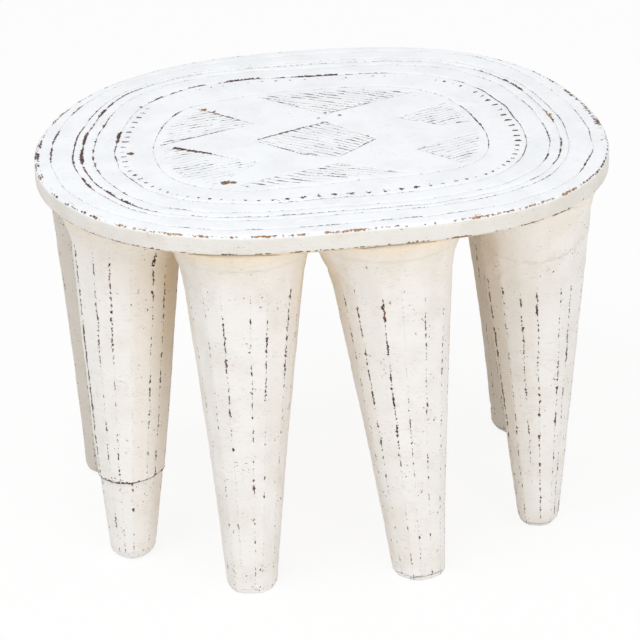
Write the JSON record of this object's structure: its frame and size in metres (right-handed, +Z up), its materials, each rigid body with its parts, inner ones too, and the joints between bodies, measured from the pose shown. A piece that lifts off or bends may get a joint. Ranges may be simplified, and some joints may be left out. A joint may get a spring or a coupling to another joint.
{
  "type": "wooden stool",
  "caption": "Low oval wooden stool with carved rings and lozenges on the seat, on thick tapering legs cut in facets, in worn white paint.",
  "frame": {"origin": "on the floor, under the middle of the seat's outline", "axes": "+Z up, +X along the length of the oval seat"},
  "size_m": [0.4528, 0.39, 0.314],
  "materials": {
    "seat_paint": "worn matte white paint over dark wood",
    "leg_paint": "worn matte warm white paint over dark wood",
    "bare_wood": "bare wood"
  },
  "bodies": {
    "root": {"seat": "seat_paint", "left_front_leg": "leg_paint", "front_left_leg": "leg_paint", "front_right_leg": "leg_paint", "right_front_leg": "leg_paint", "right_back_leg": "leg_paint", "back_right_leg": "leg_paint", "back_left_leg": "leg_paint", "left_back_leg": "leg_paint", "spliced_foot": "leg_paint", "splice_dowel": "bare_wood"}
  },
  "joints": []
}
